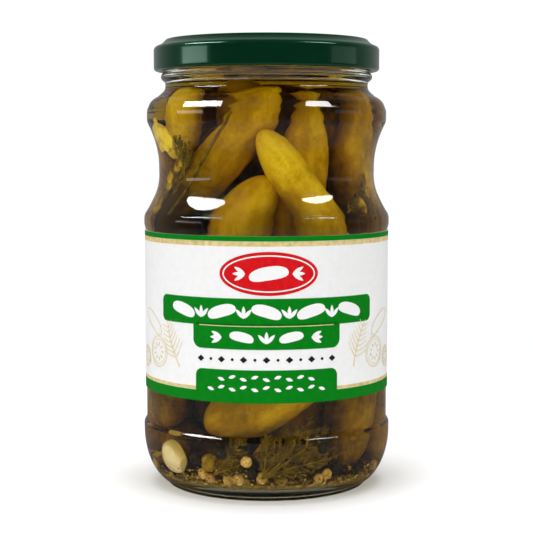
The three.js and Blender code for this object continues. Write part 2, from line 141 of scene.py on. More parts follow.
# Gherkins wholly sunk in the brine behind the others: up the middle, low across it, at the back
# and a pale one by the shoulder, its skin painted light where the backdrop shines through the brine
SUNK_PICKLES = [
    ((0, 3.0, 82), (0, 3.0, 139), 24.0, 0.0, (0.2, 0.3)),
    ((-120, 22.0, 17), (60, 22.0, 15), 15.0, 0.0, (0.2, 0.3)),
    ((-40, 22.0, 16), (-175, 26.0, 16), 14.0, 2.0, (0.2, 0.3)),
    ((35, 20.0, 17), (165, 26.0, 17), 14.0, 2.0, (0.2, 0.3)),
    ((-62, 25.0, 17), (-140, 28.0, 16), 13.0, 2.0, (0.2, 0.3)),
    ((125, 24.0, 98), (-150, 24.0, 128), 16.0, 3.0, (0.2, 0.3)),
    ((-120, 22.0, 104), (-40, 20.0, 132), 12.5, 0.0, (0.2, 0.3)),
    ((140, 22.0, 108), (60, 21.0, 135), 15.0, 0.0, (0.2, 0.3)),
    # Painted light: this pickle's skin is made very pale to stand for light coming through the brine
    # from behind.
    ((-68, 30.0, 118), (-56, 28.8, 141.5), 12.5, 0.0, (1.05, 0.9)),
]
# Broken bits of pickle by the wall: place, length round it, width up it, lean and tone
SHARDS = [
    ((-71, 37.5, 126.5), 17, 11.5, -14, 0.95),
    ((-55, 36.5, 116.0), 9, 4.5, 35, 0.35),
    ((-66, 36.5, 109.0), 10, 5.5, 70, 0.36),
    ((-72, 38.0, 99.0), 10, 5.0, 60, 0.4),
    ((57, 37.5, 101.0), 9, 4.0, 115, 0.3),
    ((66, 38.0, 108.0), 10, 4.0, 100, 0.42),
]
PICKLE_BLUNTNESS = 3.4
PICKLE_TAPER = 0.1

# Seeds of the bed at the front: azimuth, radius, height, width across and kind
FRONT_SEEDS = [
    (-38.4, 36.8, 14.4, 4.6, "pepper"),
    (-30.5, 36.4, 13.4, 6.4, "berry"),
    (-35.1, 35.8, 9.6, 3.8, "coriander"),
    (-31.5, 34.8, 8.2, 3.4, "coriander"),
    (-20.6, 34.4, 8.2, 4.2, "coriander"),
    (-14.9, 34.8, 8.6, 4.2, "coriander"),
    (-8.3, 36.2, 10.9, 4.8, "pepper"),
    (-12.0, 33.0, 7.8, 3.4, "coriander"),
    (-2.4, 35.2, 9.2, 4.0, "coriander"),
    (8.4, 34.0, 7.9, 3.6, "coriander"),
    (28.5, 35.4, 8.4, 3.4, "coriander"),
    (33.0, 36.0, 9.6, 3.6, "coriander"),
    (38.5, 36.8, 11.4, 4.6, "pepper"),
]
CAUGHT_SEEDS = [
    (-10, 38.0, 14.8, 3.8, "coriander"),
    (-23, 38.2, 17.0, 3.8, "pepper"),
    (28.7, 38.4, 18.7, 3.8, "pepper"),
]
SCATTERED_SEEDS = 13
FLECKS = 900

# Sprigs of dill: the foot, then each midrib's tip and the reach of its leaflets
LEFT_DILL = (
    (-27, 38.2, 9.8),
    [((-10, 39.4, 20.5), 6.5), ((-17, 39.2, 18.5), 4.5), ((-9, 39.0, 15.5), 3.5)],
)
RIGHT_DILL = (
    (-2, 38.2, 9.5),
    [
        ((16, 39.4, 27.0), 7.5),
        ((33, 39.4, 25.0), 8.5),
        ((37, 39.2, 16.0), 6.0),
        ((5, 39.2, 23.5), 6.0),
        ((26, 39.0, 29.0), 7.0),
        ((38, 39.0, 20.5), 6.0),
    ],
)
# Loose tufts of dill higher up, each a foot, a tip and the reach of its leaflets, and a bare
# stalk that lies along a pickle
TUFTS = [
    ((-49, 36.5, 112), (-57, 36.5, 127), 5.5),
    ((-50, 36.5, 113), (-47, 36.5, 125), 4.5),
    ((-60, 36.0, 104), (-54, 36.0, 115), 4.5),
    ((-70, 37.0, 98), (-66, 36.5, 110), 5.0),
    ((45, 37.5, 98), (58, 38.0, 103), 4.5),
    ((70, 37.0, 96), (64, 36.5, 110), 5.0),
]
STALK = [
    (-57, 38.6, 97),
    (-49, 35.6, 106),
    (-41, 35.2, 114),
    (-33, 35.4, 121),
    (-25, 36.2, 128),
    (-18, 36.6, 134),
]
STALK_RADII = [0.55, 0.6, 0.6, 0.6, 0.55, 0.45]
MIDRIB_RADIUS = 0.48
LEAFLET_RADIUS = 0.3
HAIR_RADIUS = LEAFLET_RADIUS * 0.8

CLOVE_ROOT = (-64.5, 36.2, 15.6)
CLOVE_TIP = (-44.5, 37.0, 11.0)
CLOVE_WIDTH = 9.8
CLOVE_DEPTH = 8.0

# Floor, and how bright the white round it is: to the eye, as soft light, and as gloss mirrors it
# in front of the jar and behind it
FLOOR_REACH = 350.0
FLOOR_LEVEL = -0.03
BACKDROP = 1.02
SURROUND = 0.52
MIRRORED_FRONT = 0.02
MIRRORED_BEHIND = 0.3

# Photograph's view, in millimetres, degrees and pixels of its 533-pixel frame
EYE = (0.0, -520.2, 121.6)
PITCH = 4.74
FRAME_PIXELS = 533
FOCAL_PIXELS = 1425
SENSOR = 36.0


# Shared geometry helpers


def place(azimuth, radius, height):
    turn = math.radians(azimuth)
    return Vector((radius * math.sin(turn), -radius * math.cos(turn), height))


def heading(before, after):
    """The direction from one flat point to another, of length 1."""
    return Vector((after[0] - before[0], after[1] - before[1])).normalized()


def swung(x, y, tilt):
    """A step of x across and y up, turned by an angle in radians."""
    return x * math.cos(tilt) - y * math.sin(tilt), x * math.sin(tilt) + y * math.cos(tilt)


def add_object(name, data):
    made = bpy.data.objects.new(name, data)
    bpy.context.scene.collection.objects.link(made)
    return made


def make_object(name, points, faces, material):
    """A mesh object from points in millimetres, shaded smooth."""
    mesh = bpy.data.meshes.new(name)
    mesh.from_pydata((np.asarray(points, float) * MM).tolist(), [], faces)
    mesh.materials.append(material)
    mesh.polygons.foreach_set("use_smooth", [True] * len(mesh.polygons))
    mesh.update()
    return add_object(name, mesh)


def sharpen(made):
    """Keeps an edge crisp where its faces meet at more than CREASE degrees."""
    bm = bmesh.new()
    bm.from_mesh(made.data)
    for edge in bm.edges:
        if len(edge.link_faces) == 2 and edge.calc_face_angle(0) > math.radians(CREASE):
            edge.smooth = False
    bm.to_mesh(made.data)
    bm.free()
    return made


def finish_piece(made, slot, *nodes):
    """Puts a piece on the jar's body and hides the nodes that it replaces. The slot is not used."""
    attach(made, "root")
    if nodes:
        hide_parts(*nodes)
    return made


def ellipse(radius, height, across, up, start, end, steps):
    """Points on an ellipse about (radius, height), from one angle to another."""
    points = []
    for i in range(steps + 1):
        angle = math.radians(start + (end - start) * i / steps)
        points.append((radius + across * math.cos(angle), height + up * math.sin(angle)))
    return points


def hollow(low, high, depth, steps):
    """Points of a hollow curve from one place of an outline up to another, ends left out."""
    points = []
    for i in range(1, steps):
        part = i / steps
        radius = low[0] + (high[0] - low[0]) * part
        height = low[1] + (high[1] - low[1]) * part
        points.append((radius - depth * 4 * part * (1 - part), height))
    return points


def about(radius, height, *offsets):
    """Points of an outline, each so far out and up from one place."""
    return [(radius + out, height + up) for out, up in offsets]


def quads(first, rings, sides):
    """Faces between closed rings of points, numbered from the first point on."""
    faces = []
    for low in range(first, first + (rings - 1) * sides, sides):
        for j in range(sides):
            k = (j + 1) % sides
            faces.append((low + j, low + k, low + sides + k, low + sides + j))
    return faces


def turned(name, outline, material):
    """An outline of (radius, height) points turned about +Z. It starts and ends on the axis,
    or closes on itself, and runs upwards on the outside."""
    closed = outline[0][0] > 0
    rings = outline if closed else outline[1:-1]
    angles = np.arange(TURN_STEPS) * 2 * math.pi / TURN_STEPS
    points = []
    for radius, height in rings:
        points += [(radius * math.cos(a), radius * math.sin(a), height) for a in angles]
    faces = quads(0, len(rings), TURN_STEPS)
    bottom = len(points)
    last = bottom - TURN_STEPS
    for j in range(TURN_STEPS):
        k = (j + 1) % TURN_STEPS
        if closed:
            faces.append((last + j, last + k, k, j))
        else:
            faces.append((bottom, k, j))
            faces.append((bottom + 1, last + j, last + k))
    if not closed:
        points.append((0, 0, outline[0][1]))
        points.append((0, 0, outline[-1][1]))
    return make_object(name, points, faces, material)


# Materials


class Nodes:
    """A node tree, with short ways to add to it."""

    def __init__(self, tree):
        self.tree = tree

    def feed(self, socket, value):
        """Gives a socket a fixed value, or links an output to it."""
        if isinstance(value, bpy.types.NodeSocket):
            self.tree.links.new(value, socket)
        else:
            socket.default_value = value

    def node(self, kind, sockets=None, **settings):
        """A new node, with its settings made and its sockets fed."""
        made = self.tree.nodes.new("ShaderNode" + kind)
        for setting, value in settings.items():
            setattr(made, setting, value)
        for socket, value in (sockets or {}).items():
            self.feed(made.inputs[socket], value)
        return made

    def math(self, operation, first, second):
        return self.node("Math", {0: first, 1: second}, operation=operation).outputs[0]

    def spread(self, source, low, high, least, most):
        """The range from low to high of a source mapped on to the one from least to most."""
        sockets = {"Value": source, "From Min": low, "From Max": high, "To Min": least, "To Max": most}
        return self.node("MapRange", sockets).outputs["Result"]

    def mirrored(self, rays):
        """1 for a ray that gloss throws back, otherwise 0."""
        return self.math("MULTIPLY", rays.outputs["Is Reflection Ray"], rays.outputs["Is Glossy Ray"])


class Look(Nodes):
    """A material's node tree, with its Principled shader at hand."""

    def __init__(self, name, **sockets):
        self.material = bpy.data.materials.new(name)
        self.material.use_nodes = True
        super().__init__(self.material.node_tree)
        self.shader = self.tree.nodes["Principled BSDF"]
        self.output = self.tree.nodes["Material Output"]
        for socket, value in sockets.items():
            self.feed(self.shader.inputs[socket.replace("_", " ")], value)

    def noise(self, scale, detail, roughness=0.5):
        """Noise with features of about 1 / scale metres."""
        spot = self.node("TexCoord").outputs["Object"]
        sockets = {"Vector": spot, "Scale": scale, "Detail": detail, "Roughness": roughness}
        return self.node("TexNoise", sockets).outputs["Fac"]

    def attribute(self, name):
        return self.node("Attribute", attribute_name=name).outputs["Fac"]

    def ramp(self, source, *stops):
        """Colours along 0 to 1, each stop a place and a colour."""
        made = self.node("ValToRGB", {"Fac": source})
        elements = made.color_ramp.elements
        while len(elements) < len(stops):
            elements.new(0.5)
        for element, (position, colour) in zip(elements, stops):
            element.position = position
            element.color = (*colour, 1)
        return made.outputs["Color"]

    def colour(self, source):
        self.feed(self.shader.inputs["Base Color"], source)

    def relief(self, source, distance, strength=1.0):
        """Surface normals tipped as if the source stood out by a distance in metres."""
        sockets = {"Height": source, "Distance": distance, "Strength": strength}
        return self.node("Bump", sockets).outputs["Normal"]

    def bump(self, source, distance, strength):
        self.feed(self.shader.inputs["Normal"], self.relief(source, distance, strength))

    def blend(self, share, first, second):
        """Makes the surface a blend of two shader nodes."""
        both = self.node("MixShader", {"Fac": share, 1: first.outputs[0], 2: second.outputs[0]})
        self.feed(self.output.inputs["Surface"], both.outputs["Shader"])


def clear_look(name, ior, tint, wobble=0.0):
    """Clear glass or liquid that bends sight, and lets lamps and soft light straight through."""
    look = Look(name)
    look.tree.nodes.remove(look.shader)
    glass = look.node("BsdfGlass", {"Color": (*tint, 1), "Roughness": 0.0, "IOR": ior})
    if wobble:
        look.feed(glass.inputs["Normal"], look.relief(look.noise(30, 0.0), wobble))
    clear = look.node("BsdfTransparent", {"Color": (*tint, 1)})
    rays = look.node("LightPath")
    through = look.math("MAXIMUM", rays.outputs["Is Shadow Ray"], rays.outputs["Is Diffuse Ray"])
    look.blend(through, glass, clear)
    return look


def glass_look():
    return clear_look("clear_glass", GLASS_IOR, (0.97, 0.985, 0.965), 0.00004).material


def wetted_look():
    """The inside of the glass where brine lies on it, which bends sight only a little."""
    return clear_look("wetted_glass", GLASS_IOR / BRINE_IOR, (0.985, 0.99, 0.98)).material


def brine_look():
    """Olive brine. Its sides bend nothing, as the glass that they lie in already does; its free
    surface under the lid mirrors and bends like water."""
    look = clear_look("brine", 1.0, (1.0, 1.0, 1.0))
    sides = look.output.inputs["Surface"].links[0].from_node
    surface = look.node("BsdfGlass", {"Roughness": 0.0, "IOR": BRINE_IOR})
    look.blend(look.attribute("free"), sides, surface)
    volume = look.node("VolumeAbsorption", {"Color": (0.785, 0.69, 0.0, 1), "Density": 110.0})
    look.feed(look.output.inputs["Volume"], volume.outputs["Volume"])
    return look.material


def pickle_look():
    """Wet skin from dark olive to yellow along its tone, blotched, and flecked darker and paler."""
    look = Look("pickle_skin", Roughness=0.4, Specular_IOR_Level=0.012)
    blotch = look.math("SUBTRACT", look.noise(150, 4.0, 0.6), 0.5)
    fleck = look.math("SUBTRACT", look.noise(1000, 3.0, 0.6), 0.5)
    tone = look.math("ADD", look.attribute("tone"), look.math("MULTIPLY", blotch, 0.55))
    tone = look.math("ADD", tone, look.math("MULTIPLY", fleck, 0.5))
    look.colour(
        look.ramp(
            tone,
            (0.0, (0.06, 0.03, 0.0008)),
            (0.25, (0.2, 0.102, 0.001)),
            (0.5, (0.43, 0.232, 0.0015)),
            (0.75, (0.68, 0.405, 0.004)),
            (1.0, (0.9, 0.62, 0.03)),
        )
    )
    look.bump(look.noise(700, 4.0, 0.6), 0.00025, 0.6)
    return look.material


def grain_look(name, scale, depth, dark, light, roughness, gloss):
    """A look whose colour and relief both follow noise of one scale. Dark and light are each a
    place along the noise and a colour."""
    look = Look(name, Roughness=roughness, Specular_IOR_Level=gloss)
    grain = look.noise(scale, 4.0, 0.6)
    look.colour(look.ramp(grain, dark, light))
    look.bump(look.noise(scale * 2.5, 3.0), depth, 0.7)
    return look.material


def lid_look():
    """Dark green lacquer with a faint flow in its gloss."""
    look = Look("green_lacquer", Roughness=0.2, Specular_IOR_Level=0.9, Coat_Weight=0.45)
    look.shader.inputs["Coat Roughness"].default_value = 0.05
    look.shader.inputs["Specular Tint"].default_value = (0.35, 1.0, 0.7, 1)
    flow = look.noise(60, 2.0)
    look.colour(look.ramp(flow, (0.3, (0.0002, 0.016, 0.006)), (0.7, (0.0004, 0.023, 0.009))))
    look.bump(look.noise(220, 2.0), 0.00002, 0.5)
    return look.material


def ink_look(name, dark, light):
    """Printed ink on paper: an even field with the paper's own slight unevenness."""
    look = Look(name, Roughness=0.45, Specular_IOR_Level=0.05)
    look.colour(look.ramp(look.noise(500, 4.0), (0.35, dark), (0.65, light)))
    look.bump(look.noise(2600, 3.0), 0.000012, 0.5)
    return look.material


GLASS = glass_look()
WETTED = wetted_look()
BRINE = brine_look()
PICKLE = pickle_look()
LACQUER = lid_look()
LINER = ink_look("lid_liner", (0.2, 0.14, 0.05), (0.25, 0.18, 0.07))
PAPER = ink_look("paper", (0.86, 0.86, 0.857), (0.89, 0.89, 0.887))
GREEN = ink_look("green_ink", (0.0004, 0.19, 0.006), (0.0008, 0.215, 0.009))
GOLD = ink_look("gold_ink", (0.62, 0.46, 0.17), (0.8, 0.66, 0.34))
PALE_GOLD = ink_look("pale_gold_ink", (0.78, 0.64, 0.34), (0.84, 0.72, 0.44))
RED = ink_look("red_ink", (0.62, 0.006, 0.01), (0.7, 0.01, 0.014))
WHITE = ink_look("white_ink", (0.88, 0.88, 0.877), (0.91, 0.91, 0.907))
BLACK = ink_look("black_ink", (0.012, 0.012, 0.012), (0.02, 0.02, 0.02))
DILL = grain_look(
    "dill_leaf", 400, 0.00003, (0.3, (0.05, 0.028, 0.001)), (0.7, (0.27, 0.155, 0.003)), 0.5, 0.06
)
PEPPER = grain_look(
    "peppercorn", 1500, 0.0002, (0.35, (0.004, 0.003, 0.002)), (0.7, (0.03, 0.016, 0.008)), 0.45, 0.1
)
CORIANDER = grain_look(
    "coriander_seed", 900, 0.00008, (0.3, (0.42, 0.2, 0.03)), (0.7, (0.92, 0.62, 0.24)), 0.4, 0.15
)
BERRY = grain_look(
    "wrinkled_berry", 600, 0.0002, (0.3, (0.12, 0.06, 0.001)), (0.7, (0.45, 0.27, 0.005)), 0.45, 0.1
)
GARLIC = grain_look(
    "garlic_flesh", 260, 0.00004, (0.3, (0.82, 0.62, 0.38)), (0.7, (0.93, 0.76, 0.52)), 0.35, 0.15
)
SEDIMENT = grain_look(
    "sediment", 700, 0.0003, (0.3, (0.07, 0.035, 0.002)), (0.7, (0.36, 0.2, 0.02)), 0.7, 0.05
)
CRUMBS = grain_look(
    "spice_crumbs", 700, 0.0003, (0.35, (0.09, 0.045, 0.002)), (0.65, (0.72, 0.46, 0.1)), 0.6, 0.05
)


# Glass jar and brine


def glass_outside():
    """The outside of the glass, from the middle of the underside up to the rim."""
    cone_bottom = (CONE_BOTTOM_RADIUS, CONE_BOTTOM)
    cone_top = (CONE_TOP_RADIUS, CONE_TOP)
    waist = (WAIST_RADIUS, WAIST_HEIGHT)
    band_edge = (SHOULDER_RADIUS - 0.3, BAND_BOTTOM)
    return [
        (0, PUSH_UP),
        *about(RING_INNER_RADIUS, PUSH_UP, (-8, -0.15), (-4, -0.6)),
        *about(RING_INNER_RADIUS, 0, (-1.2, 0.7), (0, 0.05), (0.8, 0)),
        (RING_OUTER_RADIUS - 0.8, 0),
        *ellipse(RING_OUTER_RADIUS - 0.6, 0.6, 0.6, 0.6, -70, 0, 5),
        *about(RING_OUTER_RADIUS, 0, (0, 1.2), (0.3, 1.55), (0.9, 1.75)),
        *ellipse(HEEL_RADIUS, HEEL_HEIGHT, BODY_RADIUS - HEEL_RADIUS, HEEL_HEIGHT, -64, 0, 24),
        *about(BODY_RADIUS, HEEL_HEIGHT, (0, 1.8), (-0.03, 2.15), (-0.12, 2.4), (-0.17, 2.5)),
        *about(BODY_RADIUS, HEEL_HEIGHT, (-0.45, 3.03), (-0.83, 3.5), (-0.9, 3.61), (-0.97, 3.8)),
        (PANEL_RADIUS, PANEL_BOTTOM + 0.2),
        *[(PANEL_RADIUS, PANEL_BOTTOM + 6 * i) for i in range(1, 12)],
        *about(PANEL_RADIUS, PANEL_TOP, (0, 0), (0.25, 0.7)),
        *about(BULGE_RADIUS, PANEL_TOP, (-0.1, 1.6), (0, 2.3)),
        *about(BULGE_RADIUS, BULGE_TOP, (0, -0.4), (-0.07, 0.7), (-0.28, 1.5), (-0.58, 2.1)),
        cone_bottom,
        *hollow(cone_bottom, cone_top, 0.16, 16),
        cone_top,
        *hollow(cone_top, waist, 0.4, 9),
        waist,
        *hollow(waist, band_edge, 1.13, 18),
        band_edge,
        *about(SHOULDER_RADIUS, BAND_BOTTOM, (-0.08, 0.7), (0, 1.6)),
        (SHOULDER_RADIUS, BAND_TOP - 1.0),
        *ellipse(SHOULDER_RADIUS - 6.4, BAND_TOP, 6.4, 6.4, 0, 11, 4),
        *about(SHOULDER_RADIUS, BAND_TOP, (-0.23, 1.5), (-0.95, 3.26)),
        *ellipse(SHOULDER_RADIUS - 6.4, BAND_TOP, 6.4, 6.4, 33.5, 68, 9),
        *about(NECK_RADIUS, NECK_HEIGHT, (0.75, -1.9), (0.25, -1.2), (0, -0.3), (0, 0.9), (0.3, 1.6)),
        *ellipse(BEAD_RADIUS - 1.5, BEAD_HEIGHT, 1.5, 1.5, -52, 62, 9),
        *about(FINISH_RADIUS, BEAD_HEIGHT, (0.15, 1.8), (0, 2.4)),
        (FINISH_RADIUS, RIM_HEIGHT - 1.8),
        *ellipse(FINISH_RADIUS - 1.4, RIM_HEIGHT - 1.4, 1.4, 1.4, 15, 80, 5),
    ]


def glass_inside():
    """The inside of the wall, from the rim down to the middle of the floor."""
    wide = BODY_RADIUS - WALL - 0.9
    panel = PANEL_RADIUS - WALL
    bulge = BULGE_RADIUS - WALL - 0.3
    cone_bottom = CONE_BOTTOM_RADIUS - WALL
    cone_top = CONE_TOP_RADIUS - WALL
    waist = (WAIST_RADIUS - WALL, WAIST_HEIGHT)
    shoulder = SHOULDER_RADIUS - WALL - 0.2
    mouth = NECK_RADIUS - WALL - 0.4
    upwards = [
        *about(0, FLOOR_HEIGHT, (0, 0), (8, -0.1), (15, -0.4), (22, -0.9)),
        *ellipse(30.5, 17, wide - 30.5, 12.4, -90, 0, 20),
        (panel, PANEL_BOTTOM),
        *[(panel, PANEL_BOTTOM + 8 * i) for i in range(1, 9)],
        (panel + 0.05, PANEL_TOP),
        (bulge - 0.1, PANEL_TOP + 2),
        *about(bulge, BULGE_TOP, (0, -1.2), (-0.12, 0), (-0.45, 1.3)),
        *about(cone_bottom, CONE_BOTTOM, (-0.3, -0.6), (-0.55, 0)),
        *about(cone_top, CONE_TOP, (0.25, -0.6), (0, 0)),
        *hollow((cone_top, CONE_TOP), waist, 0.4, 8),
        waist,
        *hollow(waist, (shoulder - 0.2, BAND_BOTTOM), 1.13, 16),
        *about(shoulder, BAND_BOTTOM, (-0.2, 0), (0, 1.6)),
        *ellipse(shoulder - 5.2, BAND_TOP - 0.5, 5.2, 5.2, 0, 58, 9),
        *about(mouth, NECK_HEIGHT, (2.3, -3.2), (0.9, -1.8), (0.2, -0.4), (0, 1)),
        *about(mouth, RIM_HEIGHT, (0, -1.4), (0.3, -0.4), (1.0, -0.02)),
    ]
    return upwards[::-1]


def tube(path, radii, sides):
    """A closed tube along points, with a radius at each of them."""
    points = []
    for i, middle in enumerate(path):
        ahead = path[min(i + 1, len(path) - 1)] - path[max(i - 1, 0)]
        across = ahead.orthogonal().normalized()
        if i:
            across = (last - ahead * (last.dot(ahead) / ahead.length_squared)).normalized()
        last = across
        third = ahead.normalized().cross(across)
        for j in range(sides):
            angle = 2 * math.pi * j / sides
            offset = (across * math.cos(angle) + third * math.sin(angle)) * radii[i]
            points.append(middle + offset)
    faces = quads(0, len(path), sides)
    faces.append(tuple(range(sides))[::-1])
    faces.append(tuple(range(len(points) - sides, len(points))))
    return points, faces


def joined(name, parts, material):
    """One object from the points and faces of its parts."""
    points = []
    faces = []
    for part_points, part_faces in parts:
        start = len(points)
        points += [tuple(p) for p in part_points]
        faces += [tuple(start + corner for corner in face) for face in part_faces]
    return make_object(name, points, faces, material)


def make_jar():
    """The glass, its inside faces below the brine's level wetted. Its last faces are the middles
    of the underside and of the inside floor by turns, and the second kind is wetted too."""
    outline = glass_outside() + glass_inside()
    jar = turned("glass_jar", outline, GLASS)
    jar.data.materials.append(WETTED)
    numbers = np.zeros(len(jar.data.polygons), int)
    for ring in range(len(glass_outside()) - 1, len(outline) - 3):
        if outline[ring + 1][1] < BRINE_LEVEL:
            numbers[ring * TURN_STEPS : (ring + 1) * TURN_STEPS] = 1
    numbers[-2 * TURN_STEPS + 1 :: 2] = 1
    jar.data.polygons.foreach_set("material_index", numbers)
    finish_piece(jar, "glass", "jar")
    ramps = []
    middle = FINISH_RADIUS + 0.4
    thick = THREAD_RADIUS - middle
    radii = [thick * min(1, 0.25 + i / 3, 0.25 + (12 - i) / 3) for i in range(13)]
    for index in range(LUG_COUNT):
        start = 360 / LUG_COUNT * index
        path = [place(start + 4 * i, middle, THREAD_BOTTOM + i / 6) for i in range(13)]
        ramps.append(tube(path, radii, 12))
    finish_piece(joined("glass_threads", ramps, GLASS), "glass")


def make_brine():
    """Brine out to just inside the wall, so that no air shows between the two."""
    wall = [(r, h) for r, h in glass_inside()[::-1] if h < BRINE_LEVEL]
    outline = []
    for i, (radius, height) in enumerate(wall):
        run = heading(wall[max(i - 1, 0)], wall[min(i + 1, len(wall) - 1)])
        if radius == 0:
            outline.append((0, height - BRINE_OVERLAP))
        else:
            outline.append((radius + run.y * BRINE_OVERLAP, height - run.x * BRINE_OVERLAP))
    mouth = outline[-1][0]
    outline += [*about(mouth, BRINE_LEVEL, (0, 0), (-0.8, -0.5), (-2.5, -0.7)), (0, BRINE_LEVEL - 0.7)]
    brine = turned("brine", outline, BRINE)
    free = brine.data.attributes.new("free", "FLOAT", "FACE")
    faces = brine.data.polygons
    on_top = [face.center.z / MM > BRINE_LEVEL - 1 and face.normal.z > 0.1 for face in faces]
    free.data.foreach_set("value", np.array(on_top, float))
    finish_piece(brine, "glass")


# Lid


def make_lid():
    """The sheet metal, lined inside down to the step before its skirt, and the lugs of its edge."""
    shoulder = LID_TOP - 2.3
    panel = LID_TOP - LID_PANEL_DEPTH
    button = panel + BUTTON_RISE
    outside = [
        *ellipse(LID_RADIUS - CURL_RADIUS, CURL_HEIGHT, CURL_RADIUS, CURL_RADIUS, -180, 0, 20),
        (LID_RADIUS, CURL_HEIGHT + 1.2),
        (LID_RADIUS, shoulder - 2.2),
        *ellipse(LID_RADIUS - 1.7, shoulder - 1.6, 1.7, 1.6, 0, 72, 10),
        *about(LID_RADIUS, shoulder, (-2.2, 0.35), (-3.1, 0.95), (-3.6, 1.45)),
        *ellipse(LID_RADIUS - 4.7, LID_TOP - 0.8, 0.8, 0.8, 20, 90, 6),
        *about(LID_PANEL_RADIUS, LID_TOP, (0.4, 0), (0, -0.1), (-0.5, -LID_PANEL_DEPTH / 2)),
        *about(LID_PANEL_RADIUS, panel, (-1, 0.08), (-1.5, 0)),
        *about(BUTTON_RADIUS, panel, (1.8, 0), (1.2, 0.06)),
        *about(BUTTON_RADIUS, button, (0, -0.12), (-1.5, 0)),
        (0, button + 0.1),
    ]
    seal = RIM_HEIGHT + 0.2
    skirt = LID_RADIUS - LID_METAL
    inside = [
        (0, panel - LID_METAL),
        (LID_PANEL_RADIUS - 1, panel - LID_METAL),
        (LID_PANEL_RADIUS, seal),
        *about(LID_RADIUS, seal, (-4.6, 0), (-3.0, -1.15), (-1.6, -1.85)),
        (skirt, seal - 2.5),
        (skirt, CURL_HEIGHT + CURL_RADIUS + 0.4),
        (LID_RADIUS - 2 * CURL_RADIUS + 0.6, CURL_HEIGHT + CURL_RADIUS),
    ]
    lid = turned("lid_sheet", inside + outside, LACQUER)
    lid.data.materials.append(LINER)
    numbers = np.zeros(len(lid.data.polygons), int)
    numbers[: (len(inside) - 2) * TURN_STEPS] = 1
    lid.data.polygons.foreach_set("material_index", numbers)
    finish_piece(lid, "lid_lacquer", "lid")
    lugs = []
    for index in range(LUG_COUNT):
        turn = 360 / LUG_COUNT * index + 20
        path = []
        for i in range(-5, 6):
            reach = 2.0 + 0.5 * (1 - abs(i) / 5)
            path.append(place(turn + 1.4 * i, LID_RADIUS - reach, CURL_HEIGHT - 0.25))
        lugs.append(tube(path, [0.55 + 0.35 * (1 - abs(i) / 5) for i in range(-5, 6)], 10))
    finish_piece(joined("lid_lugs", lugs, LACQUER), "lid_lacquer")


# Pickles


def axes_along(start, end):
    """Unit vectors along a pickle or clove, across it and out of it, and level outwards from the
    jar's axis."""
    along = (end - start).normalized()
    outward = (start + end) * 0.5
    outward.z = 0
    outward.normalize()
    across = along.cross(outward).normalized()
    return along, across, across.cross(along).normalized(), outward


def pickle_part(foot, tip, girth, bow, tints, seed, sides, rings):
    """Points, faces and skin tones of one pickle: a blunt bowed body, slightly three-sided,
    with shallow furrows along it and scattered warts."""
    rng = np.random.default_rng(seed)
    start = place(*foot)
    end = place(*tip)
    length = (end - start).length
    along, across, out, outward = axes_along(start, end)
    heights = -np.cos(np.linspace(0, math.pi, rings + 1))[1:-1]
    part = np.repeat((heights + 1) / 2, sides)
    height = np.repeat(heights, sides)
    angle = np.tile(np.arange(sides) * 2 * math.pi / sides, rings - 1)
    fullness = np.sqrt(1 - np.abs(height) ** PICKLE_BLUNTNESS)
    radius = girth / 2 * fullness * (1 - PICKLE_TAPER * (part - 0.5))

    def waves(scale, along_scale, shift):
        return np.array(
            [
                noise.noise(Vector((p * along_scale, math.cos(a) * scale + shift, math.sin(a) * scale)))
                for p, a in zip(part, angle)
            ]
        )

    lumps = waves(0.9, 4.5, seed * 7.3)
    furrows = np.cos(9 * angle + 2.2 * waves(0.8, 3.0, seed * 3.1 + 50) + seed)
    wrinkles = waves(4.0, 20.0, seed * 5.7 + 20)
    lobes = np.cos(3 * angle + seed)
    middle_part = np.sqrt(np.clip(1 - height**2, 0, 1))
    relief = 0.045 * lumps * radius + 0.022 * lobes * radius
    relief += (0.05 * furrows + 0.16 * wrinkles) * middle_part
    warts = np.zeros_like(part)
    for _ in range(rng.integers(22, 34)):
        wart_part = rng.uniform(0.07, 0.93)
        wart_angle = rng.uniform(0, 2 * math.pi)
        size = rng.uniform(0.7, 1.15)
        turn = (angle - wart_angle + math.pi) % (2 * math.pi) - math.pi
        distance = ((part - wart_part) * length) ** 2 + (turn * radius) ** 2
        warts += rng.uniform(0.18, 0.42) * np.exp(-distance / size**2)
    radius = radius + relief + warts
    tone = np.interp(part, (0, 1), tints) + 0.03 * furrows * middle_part
    tone = tone + 0.3 * lumps + 0.1 * wrinkles + 0.3 * warts - 0.1 * (np.abs(height) > 0.985)
    centres = np.outer(1 - part, start) + np.outer(part, end)
    centres += np.outer(bow * 4 * part * (1 - part), outward)
    points = centres + np.outer(radius * np.cos(angle), across) + np.outer(radius * np.sin(angle), out)
    points = np.vstack([points, start, end])
    tones = np.append(tone, [tints[0] - 0.2, tints[1] - 0.1])
    faces = [(a, d, c, b) for a, b, c, d in quads(0, rings - 1, sides)]
    bottom = len(points) - 2
    last = (rings - 2) * sides
    for j in range(sides):
        k = (j + 1) % sides
        faces.append((bottom, j, k))
        faces.append((bottom + 1, last + k, last + j))
    return points, faces, tones


def hidden_pickles():
    """The pickles round the back and in the middle, set out by rule."""
    pickles = []
    for i in range(4):
        azimuth = 110 + 35 * i
        foot = (azimuth + 9, 31, 76 + 3 * (i % 2))
        tip = (azimuth - 8, 27.5, 140 - 4 * (i % 3))
        pickles.append((foot, tip, 17 + 1.5 * (i % 2), -1.5))
    for i in range(4):
        azimuth = 146 + 34 * i
        foot = (azimuth - 8, 30, 9.6 + 2 * (i % 2))
        tip = (azimuth + 8, 31, 73 - 3 * (i % 2))
        pickles.append((foot, tip, 19 - i % 2, 0.5))
    for i in range(3):
        azimuth = 40 + 120 * i
        pickles.append(((azimuth, 11.5, 12 + 2 * i), (azimuth + 25, 11, 76 + 2 * i), 19, 0))
    pickles.append(((150, 12, 84), (172, 11, 142), 17.5, 0))
    return pickles


